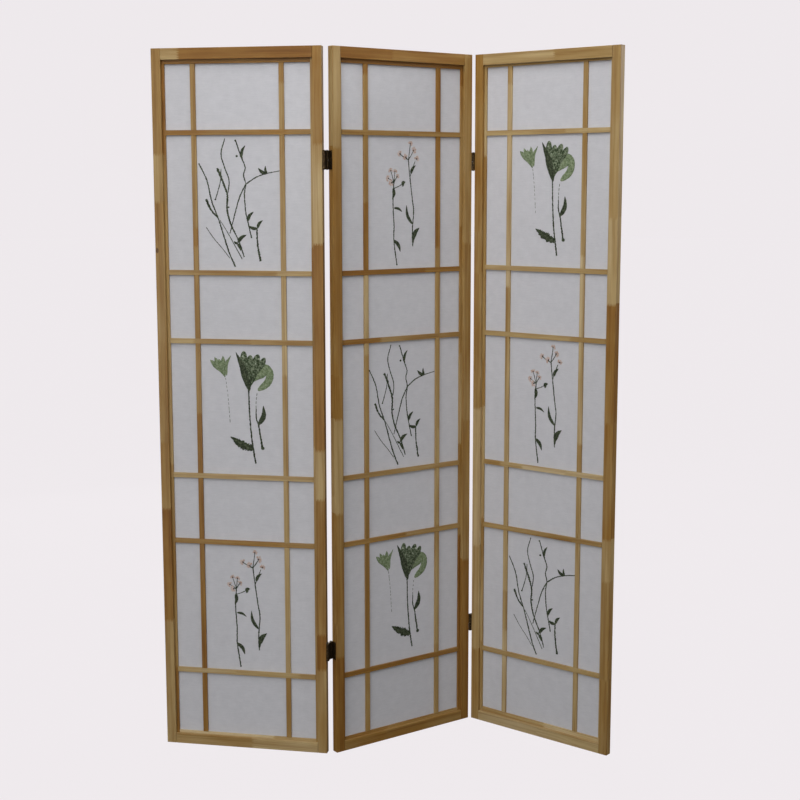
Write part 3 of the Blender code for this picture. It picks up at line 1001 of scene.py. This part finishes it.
LEAF_FACE = 0.0016           # free face of a leaf, out from the panel's edge
HINGE_EASE = 0.0003
COVER_EASE = 0.0005
SCREW_RADIUS = 0.0031
SCREW_RISE = 0.00035
SCREW_SINK = 0.0006          # depth of the cross recess
SCREW_RIM = ((1.0, 0.0), (0.93, 0.8), (0.75, 1.0))     # shares of the radius and of the rise
SCREW_ARM, SCREW_SLOT = 0.56, 0.13                     # reach and half width of the cross, the same way
SCREW_SIDES = 24
SCREW_PLACES = ((-0.0022, 0.0155), (0.0022, 0.0), (-0.0022, -0.0155))
PIN_HEAD_RADIUS = 0.0027
PIN_HEAD_RISE = 0.0013
COVER_HALF_THICKNESS = 0.0017
COVER_HALF_WIDTH = 0.0060
COVER_PROUD = 0.0002         # over the ends of the link
SLEEVE_RADIUS = 0.00405
SLEEVE_SIDES = 32
SEAM_GAP = 0.0002            # under the leaves' knuckles
# (joint line, leaf, panel it is screwed to, which edge of that panel)
LEAVES = (("left", "front", "left", 1), ("left", "rear", "centre", -1),
          ("right", "front", "centre", 1), ("right", "rear", "right", -1))


def screw_head(points, faces, centre, axes, turn):
    """A flush countersunk head: the bevelled rim, then the walls and the bottom of a sunk cross."""
    right, up, out = axes
    first = len(points)
    for reach, rise in SCREW_RIM:
        points += ring(centre + out * SCREW_RISE * rise, right, up, SCREW_RADIUS * reach, SCREW_SIDES)
    for taper, rise in ((1.0, SCREW_RISE), (0.8, -SCREW_SINK)):
        for number in range(SCREW_SIDES):
            angle = math.tau * number / SCREW_SIDES
            quarter = (angle + math.pi / 4) % (math.pi / 2) - math.pi / 4
            arm = min(SCREW_ARM, SCREW_SLOT / max(abs(math.sin(quarter)), 0.0001))
            reach = SCREW_RADIUS * arm * taper
            points.append(centre + right * reach * math.cos(angle + turn)
                          + up * reach * math.sin(angle + turn) + out * rise)
    skin(faces, first, SCREW_SIDES, 5)
    faces.append(tuple(range(first + 4 * SCREW_SIDES, first + 5 * SCREW_SIDES)))
    faces.append(tuple(reversed(range(first, first + SCREW_SIDES))))


def add_leaf_screws(joint, leaf, panel, edge, level):
    """Three countersunk cross-head screws on the free face of one hinge leaf."""
    name = f"hinge_{joint}_{level}_{leaf}_leaf"
    low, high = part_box(name)
    middle = (low.z + high.z) / 2
    turned = panel.matrix.to_3x3()
    axes = (turned @ BACKWARD * edge, UP, turned @ RIGHT * edge)
    dice = random.Random("screws " + name)
    points, faces = [], []
    for y, z in SCREW_PLACES:
        centre = panel.place(edge * (HALF_WIDTH + LEAF_FACE), y, middle + z)
        screw_head(points, faces, centre, axes, dice.uniform(0, math.pi / 2))
    metal_piece(name.replace("leaf", "screws"), points, faces, BRONZE, panel.body, smooth=False)


def add_pin_heads(joint, level):
    """Domed heads on both ends of both pins."""
    name = f"hinge_{joint}_{level}_link"
    low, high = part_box(name)
    points, faces = [], []
    for pin, (x, y, unused) in PINS.items():
        if pin.startswith(joint):
            for centre, axes in ((Vector((x, y, high.z - HEAD_SINK)), (RIGHT, BACKWARD, UP)),
                                 (Vector((x, y, low.z + HEAD_SINK)), (BACKWARD, RIGHT, -UP))):
                dome(points, faces, centre, axes, PIN_HEAD_RADIUS, PIN_HEAD_RISE)
    metal_piece(name.replace("link", "pin_heads"), points, faces, BRONZE, "links_" + joint)


def add_link_cover(joint, level):
    """The thick middle of a hinge: a cover round the link plate and sleeves round its knuckles."""
    name = f"hinge_{joint}_{level}_link"
    low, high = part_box(name)
    bottom, top = low.z - COVER_PROUD, high.z + COVER_PROUD
    seam = (low.z + high.z) / 2 - SEAM_GAP
    front, rear = [Vector((*PINS[f"{joint}_{side}_pin"][:2], 0.0)) for side in ("front", "rear")]
    middle, along = (front + rear) / 2, (rear - front).normalized()
    across = along.cross(UP)
    plate = [middle + across * side * COVER_HALF_THICKNESS + along * end * COVER_HALF_WIDTH
             for side, end in ((1, -1), (1, 1), (-1, 1), (-1, -1))]
    sleeves = [ring(pin, RIGHT, BACKWARD, SLEEVE_RADIUS, SLEEVE_SIDES) for pin in (front, rear)]
    points, faces = [], []
    for outline, height in ((plate, top), (sleeves[0], seam), (sleeves[1], seam)):
        prism(points, faces, [point + UP * bottom for point in outline],
              [point + UP * height for point in outline])
    obj = metal_piece(name + "_cover", points, faces, BRONZE, "links_" + joint, smooth=False)
    face_outward(obj)
    ease_edges(obj, COVER_EASE)


def finish_hinges():
    for name, obj in NODES.items():
        if name.startswith("hinge_"):
            dress(obj, BRONZE)
            ease_edges(obj, HINGE_EASE)
    for level in ("upper", "lower"):
        for joint, leaf, side, edge in LEAVES:
            add_leaf_screws(joint, leaf, PANELS[side], edge, level)
        for joint in ("left", "right"):
            add_pin_heads(joint, level)
            add_link_cover(joint, level)


# Studio

PAPER_GLOW = (0.871, 0.831, 0.855, 1.0)
PAPER_GLOW_STRENGTH = 0.98
PAPER_TONES = ((0.3, (0.010, 0.0096, 0.0098)), (0.7, (0.012, 0.0116, 0.0118)))
FLOOR_RADIUS = 40.0
BACKDROP_RADIUS = 39.5
SKY_TONES = ((0.40, (0.10, 0.10, 0.10)), (0.52, (0.62, 0.62, 0.64)), (0.80, (1.0, 1.0, 1.0)))
SKY_STRENGTH = 0.33
# (name, place, target, diameter, watts)
LIGHTS = (
    ("key", (-2.4, -2.6, 3.4), (0.0, 0.0, 1.0), 2.6, 59.0),
    ("top", (-0.8, -0.9, 3.4), (0.0, 0.0, 1.0), 1.2, 19.0),
    ("side", (-4.8, -1.8, 0.8), (0.0, 0.0, 1.0), 2.4, 40.0),
    ("front_fill", (1.0, -3.3, 1.5), (0.0, 0.0, 1.0), 2.0, 4.5),
    ("edge", (3.2, -1.4, 2.5), (0.35, -0.43, 1.3), 1.6, 42.0),
    ("back_key", (1.9, 2.6, 2.6), (0.0, 0.0, 0.9), 2.4, 62.0),
    ("back_fill", (0.6, 3.4, 1.2), (0.0, 0.0, 0.9), 2.0, 26.0),
)


def build_studio():
    """Pale floor and backdrop of one even tone, which add no light to the object, and soft lights."""
    material, g, shader = new_material("studio_paper")
    g.fill(shader, {
        "Base Color": g.ramp(g.noise(g.place(), 3.0, 3.0), PAPER_TONES), "Roughness": 1.0,
        "Specular IOR Level": 0.0, "Emission Color": PAPER_GLOW,
        "Emission Strength": PAPER_GLOW_STRENGTH})

    mesh_edit = bmesh.new()
    bmesh.ops.create_circle(mesh_edit, cap_ends=True, segments=96, radius=FLOOR_RADIUS)
    floor = stage_object("studio_floor", mesh_edit, material)
    mesh_edit = bmesh.new()
    bmesh.ops.create_uvsphere(mesh_edit, u_segments=48, v_segments=24, radius=BACKDROP_RADIUS)
    backdrop = stage_object("studio_backdrop", mesh_edit, material)
    for obj in (floor, backdrop):
        for ray in ("diffuse", "glossy", "transmission", "shadow"):
            setattr(obj, "visible_" + ray, False)

    world = bpy.data.worlds.new("studio")
    world.use_nodes = True
    bpy.context.scene.world = world
    g = Graph(world.node_tree)
    height = g.split(g.node("ShaderNodeTexCoord").outputs["Generated"])[2]
    g.fill(world.node_tree.nodes["Background"], {
        "Color": g.ramp(g.math("MULTIPLY_ADD", height, 0.5, 0.5), SKY_TONES), "Strength": SKY_STRENGTH})
    for light in LIGHTS:
        soft_light(*light)


def stage_object(name, mesh_edit, material):
    mesh = bpy.data.meshes.new(name)
    mesh_edit.to_mesh(mesh)
    mesh_edit.free()
    mesh.materials.append(material)
    obj = bpy.data.objects.new(name, mesh)
    bpy.context.scene.collection.objects.link(obj)
    return obj


def soft_light(name, place, target, size, watts):
    light = bpy.data.lights.new(name, "AREA")
    light.shape = "DISK"
    light.size = size
    light.energy = watts
    obj = bpy.data.objects.new(name, light)
    bpy.context.scene.collection.objects.link(obj)
    obj.location = place
    obj.rotation_euler = (Vector(target) - Vector(place)).to_track_quat("-Z", "Y").to_euler()
    obj.visible_camera = False


def build_camera():
    data = bpy.data.cameras.new("camera")
    data.lens = LENS
    data.sensor_width = SENSOR
    data.clip_end = 200.0
    obj = bpy.data.objects.new("camera", data)
    bpy.context.scene.collection.objects.link(obj)
    turn = Matrix.Rotation(math.radians(-CAMERA_HEADING), 4, "Z")
    tip = Matrix.Rotation(math.radians(90.0 - CAMERA_PITCH), 4, "X")
    roll = Matrix.Rotation(math.radians(CAMERA_ROLL), 4, "Z")
    obj.matrix_world = Matrix.Translation(CAMERA_PLACE) @ turn @ tip @ roll
    bpy.context.scene.camera = obj


build_camera()
bpy.context.scene.view_settings.view_transform = "Standard"
for panel in PANELS.values():
    finish_wood(panel)
    cloth = Cloth(panel)
    sheet_piece(cloth, print_pieces(cloth))
    add_beads(panel)
finish_hinges()
build_studio()
